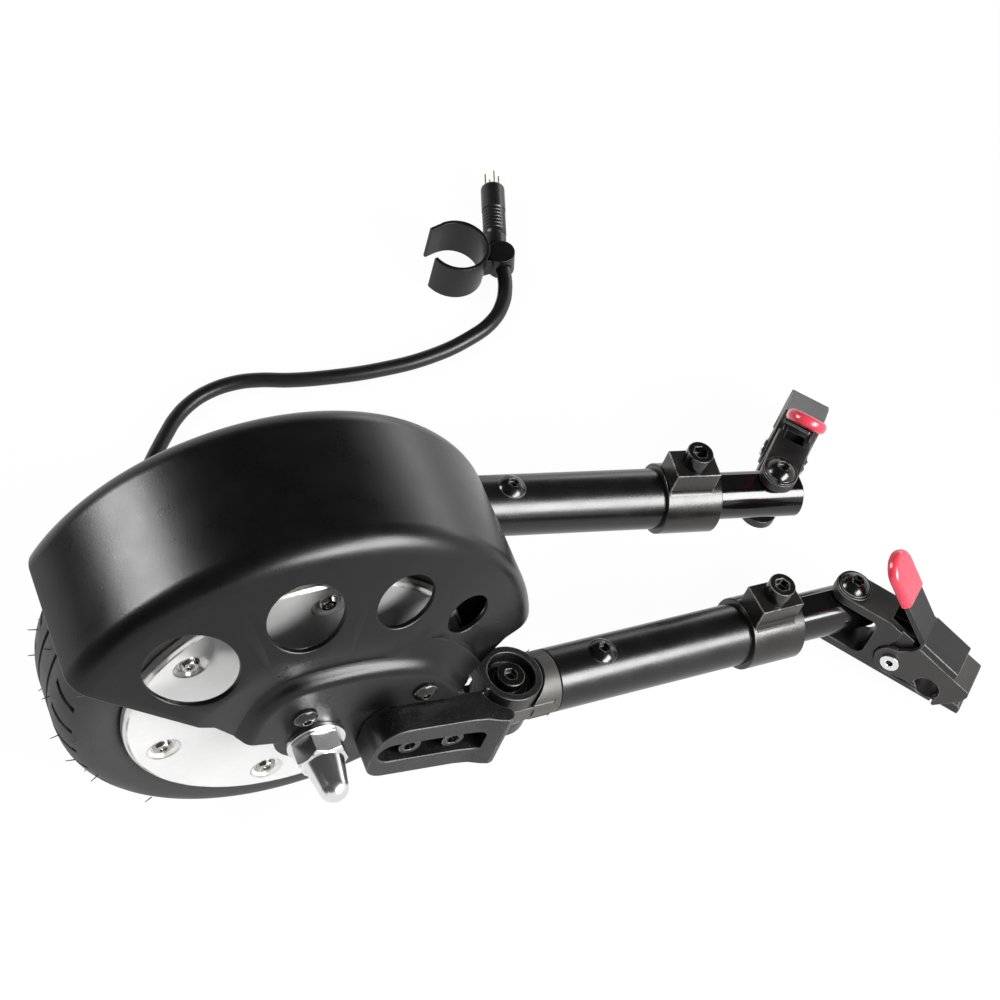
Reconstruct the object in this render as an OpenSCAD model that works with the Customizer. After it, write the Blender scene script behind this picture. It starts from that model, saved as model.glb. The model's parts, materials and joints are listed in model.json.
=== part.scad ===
/* [Wheel] */
// Tyre radius, from the floor up to the axle
tyre_r = 100; // [80:0.5:125]
// Tyre width over the sidewalls
tyre_w = 56; // [44:0.5:70]
// Rounding of the tyre shoulder
shoulder_r = 16; // [6:0.5:18]
// Radius of the rim seat under the tyre
seat_r = 74; // [60:0.5:82]
// Tread grooves round one side of the crown
groove_count = 34; // [16:1:48]
// Width of one tread groove
groove_w = 3.2; // [1.5:0.1:6]
// Depth of one tread groove
groove_d = 2.4; // [1:0.1:4]
// Thickness of the hub side covers
cover_t = 5.8; // [4:0.1:9]
// Radius of the ring of cover screws
cover_screw_ring = 61; // [48:0.5:68]
// Head radius of a cover screw
cover_head_r = 4.6; // [3:0.1:6]
// Radius of the dish round a cover screw
cover_dish_r = 7.2; // [5.5:0.1:9]
// Wall of the hub drum that carries the magnets
drum_wall = 8; // [5:0.5:12]
// Radial thickness of the magnet ring
magnet_t = 4; // [2:0.1:7]
// Air gap between magnets and stator
air_gap = 0.8; // [0.4:0.05:2]

/* [Axle] */
// Radius of the threaded axle ends
axle_r = 7; // [5:0.1:9]
// Radius of the axle inside the bearings
journal_r = 9; // [8:0.1:12]
// Outer radius of the wheel bearings
bearing_r = 16; // [13:0.1:20]
// Width of one wheel bearing
bearing_w = 10; // [6:0.1:14]
// Radius of the washer under each axle nut
washer_r = 12.8; // [10:0.1:16]
// Thickness of the axle washer
washer_t = 2.3; // [1.5:0.1:4]
// Half the width of an axle nut across its flats
nut_af = 10; // [8.5:0.1:13]
// Height of the hexagon of an axle nut
nut_h = 10; // [8:0.1:16]
// Length of the dome over the hexagon
dome_h = 18; // [12:0.5:24]
// Radius of the round dome end
dome_r = 6.5; // [4:0.1:8]

/* [Fender] */
// Free height between tyre and fender crown
crown_gap = 4.5; // [3:0.1:12]
// Wall thickness of the fender
fender_t = 2.5; // [1.5:0.1:4]
// Rounding between crown and side walls
fender_round = 12; // [6:0.5:16]
// Free width between tyre and fender wall at the crown
side_gap = 6.4; // [4:0.1:12]
// Outward lean of the side walls
wall_lean = 17.5; // [10:0.5:24]
// Angle of the front edge of the fender
fender_front = 18; // [14:0.5:40]
// Angle of the rear edge of the fender
fender_rear = 165; // [140:0.5:172]
// How far the fender shell sits behind the axle
fender_back = 1.8; // [0:0.1:2.5]
// Height of the flange over the side wall
pad_up = 5; // [2:0.1:8]
// Rounding of the flange rim
pad_round = 6; // [3:0.1:8]
// Hollow blend from flange to side wall
pad_blend = 8; // [4:0.1:12]
// Head radius of a fender screw
fender_head_r = 5.3; // [4:0.1:7]

/* [Axle plate] */
// Thickness of the plate that holds the axle
plate_t = 10; // [6:0.5:14]
// Radius of the plate round the axle
plate_r = 17; // [14:0.5:24]
// Distance of the first bracket screw from the axle
screw_x = 40; // [34:0.5:46]
// Distance between the two bracket screws
screw_pitch = 20; // [16:0.5:24]
// Thread radius of a bracket screw
bracket_screw_r = 3; // [2:0.1:4]

/* [Arm bracket] */
// Thickness of the slotted block
block_t = 14.2; // [10:0.1:20]
// Length of the slotted block
block_len = 64; // [60:0.5:72]
// Top of the block over the arm line
block_up = 11.2; // [8:0.1:11.4]
// Bottom of the block under the arm line
block_down = 22.4; // [16:0.1:26]
// Outward flare at the front end of the block
block_flare = 2.8; // [0:0.1:5]
// Length of the adjusting slot
slot_len = 51; // [44:0.5:54]
// Width of the adjusting slot
slot_w = 12.6; // [10.4:0.1:14]
// Knuckle axis, forward of the axle
knuckle_x = 88; // [84:0.5:96]
// Outer radius of the clevis eye
eye_r = 14; // [11:0.1:15]
// Height of the clevis eye
eye_h = 28; // [24:0.5:34]
// Thickness of the arm tongue in the clevis
tongue_t = 9.2; // [6:0.1:12]
// Radius of the knuckle bolt
knuckle_bolt_r = 4; // [3:0.1:5]

/* [Arms] */
// Height of the arm line over the axle, in the chassis frame
arm_z = 3.3; // [0:0.1:5]
// Inward lean of each arm
toe = 5.1; // [2:0.1:8]
// Radius of the outer tube
tube_r = 14; // [12.5:0.1:17]
// Radius of the sliding inner tube
slide_r = 11; // [9:0.1:11.5]
// Wall of the inner tube
slide_wall = 2.5; // [1.5:0.1:4]
// Depth of the flat along the inner tube
flat_d = 0.8; // [0.3:0.1:2]
// Length of the fitting collar
fitting_len = 5.7; // [4:0.1:16]
// Distance of the tube screw from the knuckle axis
tube_screw_x = 46; // [40:0.5:56]
// Head radius of the tube screw
tube_head_r = 6.6; // [4:0.1:8]
// Start of the clamp collar, from the knuckle axis
collar_x = 121; // [110:0.5:126]
// Length of the clamp collar
collar_len = 28; // [22:0.5:32]
// Wall of the clamp collar
collar_wall = 2.4; // [1.5:0.1:4]
// Top of the collar lug over the arm line
lug_up = 26; // [22:0.5:30]
// Width of the collar lug
lug_w = 15.4; // [13.4:0.1:20]
// Length of the collar lug
lug_len = 22; // [14:0.5:24]
// Head radius of the collar screw
collar_head_r = 6.2; // [5:0.1:6.6]
// Distance from the near knuckle axis to the clamp pivot
reach_near = 181; // [172:0.5:210]
// Distance from the far knuckle axis to the clamp pivot
reach_far = 181; // [172:0.5:210]
// Length of the inner tube past the clamp pivot
tube_past = 13.4; // [9:0.1:13.8]
// How far the far bracket stands behind the near one
far_back = 8; // [0:0.5:9]

/* [Docking clamps] */
// Outward turn of the clamps
clamp_turn = 47; // [20:1:70]
// Width of the fork of the clamp
fork_w = 17.4; // [14:0.1:20]
// Width of the clamp over the jaw cheeks
clamp_w = 20; // [15:0.1:24]
// Length of the clamp from its pivot
clamp_len = 70.3; // [70:0.1:76]
// Thickness of the fork plates
fork_t = 5.1; // [4:0.1:7]
// Thickness of one jaw cheek
cheek_t = 2.6; // [2:0.1:3.4]
// Radius of the docking pin seat
dock_r = 6.3; // [5:0.1:6.5]
// Radius of the jaw rivet
rivet_r = 3; // [2:0.1:3.6]
// Radius of the jaw boss round the rivet
boss_r = 8; // [7:0.1:9.2]
// Radius of the clamp pivot bolt
pivot_bolt_r = 4; // [3:0.1:5]
// Head radius of the clamp pivot bolt
pivot_head_r = 7; // [5.5:0.1:8]
// Thickness of the lever plate
lever_t = 4.2; // [3:0.1:4.6]
// Thickness of the lever arm
arm_t = 3.2; // [2:0.1:4]
// Width of the lever arm
arm_w = 16.6; // [12:0.1:18]
// Length of the lever arm from the bend
arm_len = 46.3; // [36:0.1:52]
// Length of the grip cap
cap_len = 24; // [16:0.5:30]
// Wall of the grip cap on the lever
cap_wall = 1.2; // [1:0.1:2]

/* [Cable] */
// Radius of the motor cable
cable_r = 3.75; // [3:0.05:4.2]
// Radius of the plug
plug_r = 6.2; // [5:0.1:7]
// Length of the plug
plug_len = 32; // [24:0.5:40]
// Radius of the tube that the cable clip snaps on
clip_bore_r = 14; // [12:0.1:16]
// Wall of the cable clip
clip_wall = 2; // [1.5:0.1:3]
// Height of the cable clip
clip_h = 22.5; // [18:0.5:32]
// Lean of the cable clip, where it lies
clip_lean = 9; // [0:0.5:15]
// Radius of the lobe that holds the cable
lobe_r = 7; // [6:0.1:9]

/* [Hidden] */
$fn = 72;
// gap between bodies that move against each other, running fit of a pin
gap = 0.3;
fit = 0.05;
near = -1;
far = 1;
// wheel, from the middle outward
bead_out = tyre_w / 2 - 2;
cover_in = bead_out + 0.2;
cover_out = cover_in + cover_t;
cover_r = seat_r + 1;
boss_out = cover_out + 8;
magnet_r = seat_r - drum_wall;
stator_r = magnet_r - magnet_t - air_gap;
// axle stack, from the wheel outward
plate_in = boss_out + 4;
plate_out = plate_in + plate_t;
flange_out = plate_out + fender_t;
washer_out = flange_out + washer_t;
nut_out = washer_out + nut_h;
nut_r = nut_af / cos(30);
axle_far = nut_out + 3;
// fender
fender_r = tyre_r + crown_gap + fender_t;
wall_half = tyre_w / 2 + side_gap;
lean = tan(wall_lean);
// round vents in the side walls: radius from the axle, angle, radius of the hole
vents = [[76.6, 142.6, 19.3], [75.8, 103.8, 16.4], [78.4, 70.8, 12.9], [81.6, 43.4, 9.6]];
vent_scale = fender_r / 108;
// raised flange round the axle plate, and its two screws
pad = chaikin(chaikin([[62, -14], [62, 12], [57.5, 19], [47, 31], [36, 37.6], [17, 40], [0, 38.6], [-15, 34.8],
  [-22, 28], [-27, 18], [-28, -14]]));
fender_screws_at = [[-9, 18.5], [43, 24.5]];
slot_z = -5.2;
// arms
knuckle_y = plate_out - 4;
block_in = plate_out + gap - knuckle_y;
block_out = block_in + block_t;
tongue_slot = tongue_t / 2 + gap;
web_x = eye_r + 0.2;
plate_x = knuckle_x - far_back - web_x - 0.8;
counter_z = eye_h / 2 - 7;
tube_bore = slide_r + 0.1;
tube_x = eye_r + 2 + fitting_len;
tube_end = collar_x + collar_len - 4;
collar_r = tube_r + collar_wall;
lug_x = collar_x + 1 + lug_len / 2;
lug_side = atan(2 * lug_up / lug_w) - acos(collar_r / norm([lug_up, lug_w / 2]));
// clamp, heights from the arm line
throat = slide_r + gap;
clamp_top = throat + fork_t;
clamp_low = -throat - fork_t + 0.6;
core_half = clamp_w / 2 - cheek_t - gap;
rivet_at = [31.4, clamp_low + 11.5];
dock_at = [51.7, clamp_low + 7.6];
heel_x = 39.2;
// pitch that lets the tyre and the near clamp end touch the floor
tip_x = knuckle_x + reach_near * cos(toe) + clamp_len * cos(clamp_turn) + core_half * sin(clamp_turn);
tip_z = arm_z + clamp_low;
pitch = asin(tyre_r / sqrt(tip_x * tip_x + tip_z * tip_z)) - atan(-tip_z / tip_x);
// cable on the floor frame: out of the axle in a bent boot, down, along the floor and up into the plug
bend_r = 30;
plug_z = 7;
plug_turn = 72;
plug_at = [191, 240.4, plug_z];
function bend(a) = [0, axle_far, tyre_r] + bend_r * [-0.51 * (1 - cos(a)), sin(a), -0.86 * (1 - cos(a))];
boot = [for (a = [0:7.5:45]) bend(a)];
route = concat([bend(45), bend(50)], [[-10.3, 102.3, 82.6], [-14.6, 108.6, 73.6], [-18.4, 114.2, 63.6], [-21.4, 119.6, 53.2],
  [-23.6, 124.4, 43.2], [-24.8, 128.8, 33.6], [-25, 134, 24.4], [-24, 141, 16], [-22, 149, 9.2], [-18.6, 157, 5.4],
  [-13.6, 164.4, 4.2], [-8, 171.4, 4], [-2, 178.4, 4], [4.8, 185.6, 4], [14.3, 192.2, 4], [24.7, 196, 4],
  [38.7, 197, 4], [49.9, 194.9, 4], [64.6, 189.8, 4], [84, 185.1, 4], [108.7, 181.4, 4], [134.8, 180.9, 4],
  [157.6, 185.3, 4], [171.5, 191.4, 4], [180, 199.6, 4.2], [184.8, 208.2, 5], [187.2, 216.6, 6.2], [188.6, 225, 6.9],
  [189.4, 232.6, plug_z], plug_at]);
clip_at = [163.2, 228.6];
lobe_at = [188.6, 225, 6.9];
lobe_turn = 84;

function arc(x, y, r, a, b, n = 8) = [for (i = [0:n]) [x + r * cos(a + (b - a) * i / n),
  y + r * sin(a + (b - a) * i / n)]];
function unit(v) = v / norm(v);
function inset(p, d) = [for (i = [0:len(p) - 1]) let (b = p[i], u = unit(b - p[(i + len(p) - 1) % len(p)]),
  v = unit(p[(i + 1) % len(p)] - b), m = [-u[1] - v[1], u[0] + v[0]]) b + m * (2 * d / (m * m))];
// cuts every corner of a closed outline
function chaikin(p) = [for (i = [0:len(p) - 1], f = [0.25, 0.75]) p[i] * (1 - f) + p[(i + 1) % len(p)] * f];
// three points on each step of a smooth line through the given ones
function smooth(p) = [for (i = [0:len(p) - 2], f = [0, 1 / 3, 2 / 3]) let (a = p[max(i - 1, 0)], b = p[i], c = p[i + 1],
  d = p[min(i + 2, len(p) - 1)]) b + f * (c - a) / 2 + f * f * (a - 2.5 * b + 2 * c - d / 2)
  + f * f * f * (3 * b - 3 * c + d - a) / 2];
function back(side) = side == far ? far_back : 0;
function reach(side) = side == far ? reach_far : reach_near;

// frames: the chassis lies pitched over the floor, the near side is the one modelled, at minus Y
module placed() translate([0, 0, tyre_r]) rotate([0, pitch, 0]) children();
module at_side(side) placed() mirror([0, side == far ? 1 : 0, 0]) children();
module at_knuckle(side) at_side(side) translate([knuckle_x - back(side), -knuckle_y, arm_z]) children();
module at_arm(side) at_knuckle(side) rotate([0, 0, toe]) children();
module at_clamp(side) at_arm(side) translate([reach(side), 0, 0]) rotate([0, 0, -clamp_turn - toe]) children();
// turned about the axle, the profile's second axis pointing outward on the near side
module turned() rotate([90, 0, 0]) rotate_extrude($fn = 180) children();
// an outline in X and Z, between two distances outward
module slab(a, b) translate([0, -a, 0]) rotate([90, 0, 0]) linear_extrude(b - a) children();
module pin(r, a, b) translate([0, -a, 0]) rotate([90, 0, 0]) cylinder(r = r, h = b - a);
module cone(r, q, a, b) translate([0, -a, 0]) rotate([90, 0, 0]) cylinder(r1 = r, r2 = q, h = b - a);
module cut(r, a, b) translate([0, 0, a]) cylinder(r = r, h = b - a);
// takes a corner off an outline and leaves it round
module nick(at, r, dx, dy) translate(at) difference() {
  translate([dx > 0 ? -1 : -r, dy > 0 ? -1 : -r]) square(r + 1);
  translate([dx * r, dy * r]) circle(r);
}

// rubber tyre with round shoulders and slanted tread grooves
module tyre() color([0.06, 0.06, 0.06]) placed() difference() {
  turned() difference() {
    union() {
      translate([seat_r, -tyre_w / 2]) square([tyre_r - shoulder_r - seat_r, tyre_w]);
      translate([tyre_r - shoulder_r - 1, -tyre_w / 2 + shoulder_r]) square([shoulder_r + 1, tyre_w - 2 * shoulder_r]);
      for (s = [-1, 1]) translate([tyre_r - shoulder_r, s * (tyre_w / 2 - shoulder_r)]) circle(shoulder_r);
    }
    translate([0, -tyre_w]) square([seat_r, 2 * tyre_w]);
    for (s = [-1, 1]) polygon([[seat_r - 1, s * bead_out], [seat_r + 2, s * bead_out],
      [seat_r + 8, s * tyre_w / 2], [seat_r + 8, s * (tyre_w / 2 + 1)], [seat_r - 1, s * (tyre_w / 2 + 1)]]);
  }
  for (s = [-1, 1], i = [0:groove_count - 1]) rotate([0, (i + s / 4) * 360 / groove_count, 0])
    translate([0, s * (tyre_w / 2 - shoulder_r * 0.72), tyre_r - shoulder_r * 0.04]) rotate([-s * 22, 0, s * 34])
    cube([groove_w, shoulder_r * 1.3, 2 * groove_d], center = true);
}

// drum of the hub motor, its outside is the rim
module hub_shell() color([0.35, 0.35, 0.36]) placed() turned() polygon([[seat_r, -cover_in], [seat_r, cover_in],
  [magnet_r, cover_in], [magnet_r, -cover_in]]);

// side cover with bearing boss and six dished screw seats
module hub_cover(side) color([0.75, 0.75, 0.76]) at_side(side) difference() {
  turned() polygon([[journal_r + 1, cover_in], [cover_r - 1, cover_in], [cover_r, cover_in + 1],
    [cover_r, cover_out - 1.6], [cover_r - 1.6, cover_out], [bearing_r + 9, cover_out],
    [bearing_r + 5, cover_out + 2], [bearing_r + 4, boss_out], [journal_r + 1, boss_out]]);
  pin(bearing_r, cover_in - 1, boss_out - 1);
  for (i = [0:5]) rotate([0, -31 - 60 * i, 0]) translate([cover_screw_ring, 0, 0]) {
    cone(cover_dish_r - 2, cover_dish_r + 1, cover_out - 2, cover_out + 1);
    pin(2.5, cover_in - 1, cover_out + 1);
  }
}

// twelve button screws of the covers, in their dishes
module hub_screws() color([0.7, 0.7, 0.7]) for (side = [near, far]) at_side(side)
  for (i = [0:5]) rotate([0, -31 - 60 * i, 0]) translate([cover_screw_ring, 0, 0]) difference() {
    union() {
      cone(cover_head_r, cover_head_r - 1.4, cover_out - 2, cover_out + 0.2);
      pin(2.5, cover_in, cover_out - 2);
    }
    pin(1.9, cover_out - 1.2, cover_out + 1, $fn = 6);
  }

// ring of magnets inside the drum
module magnet_ring() color([0.45, 0.45, 0.47]) placed() turned() polygon([[magnet_r - magnet_t, -20],
  [magnet_r, -20], [magnet_r, 20], [magnet_r - magnet_t, 20]]);

// wheel bearing in the cover boss
module bearing(side) color([0.6, 0.6, 0.62]) at_side(side) turned() polygon([[journal_r + fit, boss_out - 1 - bearing_w],
  [bearing_r, boss_out - 1 - bearing_w], [bearing_r, boss_out - 1], [journal_r + fit, boss_out - 1]]);

// through axle with threaded ends, the far end hollow for the cable
module axle() color([0.6, 0.6, 0.6]) placed() difference() {
  union() {
    pin(journal_r, -boss_out - gap, boss_out + gap);
    pin(axle_r, -axle_far, nut_out + 3);
  }
  pin(cable_r + 0.2, -axle_far - 1, -boss_out);
}

// stator with its teeth, pressed on the axle
module stator() color([0.5, 0.35, 0.2]) placed() difference() {
  pin(stator_r, -18, 18);
  pin(journal_r, -19, 19);
  for (i = [0:17]) rotate([0, i * 20, 0]) translate([stator_r * 0.78, 0, 0])
    cube([stator_r * 0.36, 40, stator_r * 0.13], center = true);
}

// spacer rings between bearings and axle plates
module axle_spacers() color([0.5, 0.5, 0.5]) for (side = [near, far]) at_side(side) difference() {
  pin(journal_r + 2.5, boss_out + gap, plate_in);
  pin(axle_r, boss_out - 1, plate_in + 1);
}

// flat plate that clamps the axle and carries fender and bracket
module axle_plate(side) color([0.13, 0.13, 0.13]) at_side(side) difference() {
  union() {
    pin(plate_r, plate_in, plate_out);
    slab(plate_in, plate_out) polygon([[-14, 9], [-14, 22], [-7, 31], [37, 33], [45, 27.5], [plate_x - 5.5, 13],
      [plate_x, 10], [plate_x, -10], [plate_x - 3, -14], [40, -24], [18, -28], [4, -14]]);
  }
  pin(axle_r, plate_in - 1, plate_out + 1);
  for (p = fender_screws_at) translate([p[0], 0, p[1]]) pin(2.5, plate_in - 1, plate_out + 1);
  for (i = [0, 1]) translate([screw_x + i * screw_pitch, 0, arm_z + slot_z])
    pin(bracket_screw_r, plate_in - 1, plate_out + 1);
}

// washers under the axle nuts
module axle_washers() color([0.7, 0.7, 0.72]) for (side = [near, far]) at_side(side) difference() {
  pin(washer_r, flange_out, washer_out);
  pin(axle_r, flange_out - 1, washer_out + 1);
}

// closed nut on the near axle end, its dome drawn out like a bullet
module dome_nut() color([0.8, 0.8, 0.82]) at_side(near) difference() {
  union() {
    intersection() {
      slab(washer_out, nut_out) circle(nut_r, $fn = 6);
      turned() polygon([[0, washer_out], [nut_af, washer_out], [nut_r, washer_out + 0.8],
        [nut_r, nut_out - 1.4], [nut_af - 0.4, nut_out], [0, nut_out]]);
    }
    turned() polygon(concat([[0, nut_out - 1], [nut_af - 1.1, nut_out - 1]],
      arc(0, nut_out + dome_h - dome_r, dome_r, 0, 90)));
  }
  pin(axle_r, washer_out - 1, nut_out + 3);
}

// open nut on the far axle end, where the cable comes out
module hex_nut() color([0.7, 0.7, 0.72]) at_side(far) difference() {
  intersection() {
    slab(washer_out, nut_out) circle(nut_r, $fn = 6);
    turned() polygon([[0, washer_out], [nut_af, washer_out], [nut_r, washer_out + 0.8],
      [nut_r, nut_out - 0.8], [nut_af, nut_out], [0, nut_out]]);
  }
  pin(axle_r, washer_out - 1, nut_out + 1);
}

// half section of the fender shell, a wall thickness inside the outer skin
function fender_half(t) = let (rc = fender_r - fender_round, k = 1 / cos(wall_lean), d = flange_out - pad_up - t,
  hc = wall_half + fender_r * lean - fender_round * k - rc * lean)
  concat([[0, d], [(wall_half + fender_r * lean - t * k - d) / lean, d]],
  [for (p = arc(0, 0, fender_round - t, wall_lean, 90)) [rc + p[1], hc + p[0]]]);
// section of the flange rim, as steps outward and down: a round edge, a hollow blend and a slope into the wall
function rim(t) = let (k = pad_round + pad_blend, e = [k * sin(55) - (pad_blend + t) * sin(30),
  pad_round - k * cos(55) + (pad_blend + t) * cos(30)])
  concat([for (a = [0:11:55]) [(pad_round - t) * sin(a), pad_round - (pad_round - t) * cos(a)]],
  [for (a = [46:-8:30]) [k * sin(55) - (pad_blend + t) * sin(a), pad_round - k * cos(55) + (pad_blend + t) * cos(a)]],
  [e + 9 * [cos(30), sin(30)], [e[0] + 9 * cos(30), flange_out - 30]]);
// flange lofted over the smooth outline, the rim stepping out round it
module flange(t) {
  r = rim(t);
  n = len(pad);
  m = len(r);
  polyhedron([for (q = r, p = inset(pad, -q[0])) [p[0], q[1] - flange_out, p[1]]],
    concat([[for (j = [n - 1:-1:0]) j]], [[for (j = [0:n - 1]) (m - 1) * n + j]],
    [for (i = [0:m - 2], j = [0:n - 1], f = [0, 1]) f == 0 ? [i * n + j, i * n + (j + 1) % n, (i + 1) * n + j] :
    [i * n + (j + 1) % n, (i + 1) * n + (j + 1) % n, (i + 1) * n + j]]));
}
module fender_solid(t) {
  h = fender_half(t);
  translate([-fender_back, 0, 0]) turned() polygon(concat(h, [for (i = [len(h) - 1:-1:0]) [h[i][0], -h[i][1]]]));
  for (side = [near, far]) mirror([0, side == far ? 1 : 0, 0]) flange(t);
}

// thin fender with leaning walls, four round vents a side and a raised flange over the axle plate
module fender() color([0.16, 0.16, 0.17]) placed() difference() {
  intersection() {
    difference() {
      fender_solid(0);
      fender_solid(fender_t);
    }
    translate([0, 100, 0]) slab(0, 200) polygon([[130 * cos(fender_rear), 130 * sin(fender_rear)],
      [47 * cos(fender_rear), 47 * sin(fender_rear)], [-34, 2.4], [-15, 0.4], [0, 0.4], [14, 15.4], [58, 15.4],
      [61, 18], [66.4, 18], [66.4, 66.4 * tan(fender_front)], [130 * cos(fender_front), 130 * sin(fender_front)], [130, 150],
      [-130, 150]]);
  }
  for (v = vents) rotate([0, -v[1], 0]) translate([v[0] * vent_scale, 0, 0]) pin(v[2] * vent_scale, -80, 80);
  pin(axle_r + 0.6, -80, 80);
  for (p = fender_screws_at) translate([p[0], 0, p[1]]) pin(2.8, -80, 80);
}

// four button screws of the fender
module fender_screws() color([0.1, 0.1, 0.1]) for (side = [near, far], p = fender_screws_at) at_side(side)
  translate([p[0], 0, p[1]]) {
    pin(2.5, plate_in + 1, flange_out);
    difference() {
      turned() intersection() {
        translate([0, flange_out]) square([fender_head_r, 3.2]);
        translate([0, flange_out - 4.6]) circle(7.8);
      }
      pin(1.9, flange_out + 1.4, flange_out + 4, $fn = 6);
    }
  }

// four cap screws that hold the brackets through their slots
module bracket_screws() color([0.1, 0.1, 0.1]) for (side = [near, far], i = [0, 1]) at_side(side)
  translate([screw_x + i * screw_pitch, 0, arm_z + slot_z]) {
    pin(bracket_screw_r, plate_in, plate_out + 6.6);
    difference() {
      pin(bracket_screw_r + 2, plate_out + 6.6, plate_out + 12.4);
      pin(2.9, plate_out + 9.4, plate_out + 13, $fn = 6);
    }
  }

// a round bar of ten sides along a line, its radius given at each point, its end faces square to the two end ways
module bar(line, radius, from, to) {
  n = len(line);
  k = 10;
  t = [for (i = [0:n - 1]) i == 0 ? from : i == n - 1 ? to : unit(line[i + 1] - line[i - 1])];
  u = [for (i = [0:n - 1]) unit(cross(t[i], [0.94, -0.34, 0.03]))];
  polyhedron([for (i = [0:n - 1], j = [0:k - 1]) let (v = cross(t[i], u[i]))
    line[i] + radius[i] * (cos(360 * j / k) * u[i] + sin(360 * j / k) * v)],
    concat([[for (j = [k - 1:-1:0]) j]], [[for (j = [0:k - 1]) (n - 1) * k + j]],
    [for (i = [0:n - 2], j = [0:k - 1], f = [0, 1]) f == 0 ? [i * k + j, i * k + (j + 1) % k, (i + 1) * k + j] :
    [i * k + (j + 1) % k, (i + 1) * k + (j + 1) % k, (i + 1) * k + j]]));
}
boot_way = [-0.51 * sin(45), cos(45), -0.86 * sin(45)];

// tapered strain relief on the hollow axle end, bent down with the cable
module cable_gland() color([0.07, 0.07, 0.07]) bar(boot, [for (i = [0:len(boot) - 1])
  i < 2 ? axle_r : axle_r - (axle_r - cable_r - 1.1) * (i - 1) / (len(boot) - 2)], [0, 1, 0], boot_way);

// motor cable, swept along its route
module power_cable() color([0.05, 0.05, 0.05]) {
  line = concat(smooth(route), [plug_at]);
  bar(line, [for (p = line) cable_r], boot_way, [cos(plug_turn), sin(plug_turn), 0]);
}

module at_plug() translate(plug_at) rotate([0, 0, plug_turn]) rotate([0, 90, 0]) children();

// round four pin plug with grip ribs on its rear half
module plug() color([0.06, 0.06, 0.06]) at_plug() rotate_extrude() polygon(concat([[0, 0], [plug_r - 1.2, 0],
  [plug_r - 0.4, 1.2]], [for (i = [0:3], p = [[0, 0], [-0.7, 0.5], [-0.7, 1.6], [0, 2.1]]) [plug_r + p[0], 2.4 + i * 3.4 + p[1]]],
  [[plug_r, plug_len - 1.8], [plug_r - 1.4, plug_len], [plug_r - 2, plug_len], [plug_r - 2, plug_len - 3],
  [0, plug_len - 3]]));

// four contact pins
module plug_pins() color([0.8, 0.62, 0.3]) at_plug() for (i = [0:3]) rotate([0, 0, 45 + 90 * i])
  translate([2.4, 0, plug_len - 3]) cylinder(r = 0.8, h = 12);

// spring clip that snaps on a frame tube, with a lip to guide it and a lobe that holds the cable end
module cable_clip() color([0.06, 0.06, 0.06]) difference() {
  union() {
    difference() {
      union() {
        at_clip() cylinder(r = clip_bore_r + clip_wall, h = clip_h);
        translate([(clip_at[0] + lobe_at[0]) / 2 + 5, lobe_at[1] + 1, 6.8]) cube([16, 8, 11], center = true);
      }
      at_clip() translate([0, 0, -10]) cylinder(r = clip_bore_r, h = clip_h + 20);
      at_clip() translate([0, 0, -10]) linear_extrude(clip_h + 20) polygon([[0, 0], 40 * [cos(125), sin(125)],
        60 * [cos(172), sin(172)], 40 * [cos(220), sin(220)]]);
    }
    at_clip() rotate([0, 0, 125]) translate([clip_bore_r + 0.1, -1, 0.1])
      cube([clip_wall - 0.2, 8, clip_h - 0.2]);
    translate([lobe_at[0], lobe_at[1], 0.2]) cylinder(r = lobe_r, h = 13.6);
  }
  translate(lobe_at) rotate([0, 0, lobe_turn]) rotate([0, 90, 0]) cylinder(r = cable_r, h = 40, center = true);
}
module at_clip() translate([clip_at[0], clip_at[1], (clip_bore_r + clip_wall) * sin(clip_lean) + 0.1])
  rotate([0, clip_lean, -20.2]) children();

// slotted bracket with the clevis of the knuckle, slides on the axle plate; its front end flares outward
module bracket(side) color([0.15, 0.15, 0.15]) at_knuckle(side) difference() {
  union() {
    intersection() {
      slab(block_in, block_out + block_flare) difference() {
        translate([-block_len - 2, -block_down]) square([block_len, block_down + block_up]);
        nick([-block_len - 2, block_up], 14, 1, -1);
        nick([-block_len - 2, -block_down], 9, 1, 1);
        nick([-2, -block_down], 5, -1, 1);
      }
      translate([0, 0, -block_down - 1]) mirror([0, 1, 0]) linear_extrude(block_down + block_up + 2)
        polygon([[-block_len - 3, block_in - 1], [-9, block_in - 1], [-9, block_in + 7.1], [-6.4, block_in + 9.3],
        [-4.8, block_out - 3.4], [-4.2, block_out - 1.1], [-4.6, block_out + block_flare - 2], [-6, block_out + block_flare - 0.6],
        [-8, block_out + block_flare], [-12, block_out + block_flare * 0.7], [-17, block_out + 0.4], [-24, block_out - 0.1],
        [-block_len - 3, block_out]]);
    }
    cut(eye_r, -eye_h / 2, eye_h / 2);
    translate([0, 0, -eye_h / 2]) linear_extrude(eye_h) polygon([[-web_x, 9], [-web_x, -6],
      [-eye_r * 0.71, -eye_r * 0.7], [0, 0], [-eye_r * 0.76, eye_r * 0.64]]);
  }
  translate([-4 - slot_len / 2 - 8, 0, slot_z]) {
    slab(block_in + 6, block_out + 1) slot(slot_w / 2);
    slab(block_in - 1, block_out) slot(bracket_screw_r + gap);
  }
  cut(eye_r + 0.9, -tongue_slot, tongue_slot);
  translate([0, -20, -tongue_slot]) cube([30, 40, 2 * tongue_slot]);
  translate([-20, -3.6, -tongue_slot]) cube([30, 20, 2 * tongue_slot]);
  cut(eye_r - 3.4, counter_z, eye_h);
  cut(knuckle_bolt_r, -eye_h, eye_h);
  difference() {
    cut(eye_r + 2, tongue_slot, eye_h);
    cut(eye_r, 0, eye_h + 1);
    translate([-40, -6, 0]) cube([40, 60, 40]);
  }
}
module slot(r) {
  for (s = [-1, 1]) translate([s * (slot_len - slot_w) / 2, 0]) circle(r);
  square([slot_len - slot_w, 2 * r], center = true);
}

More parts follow.
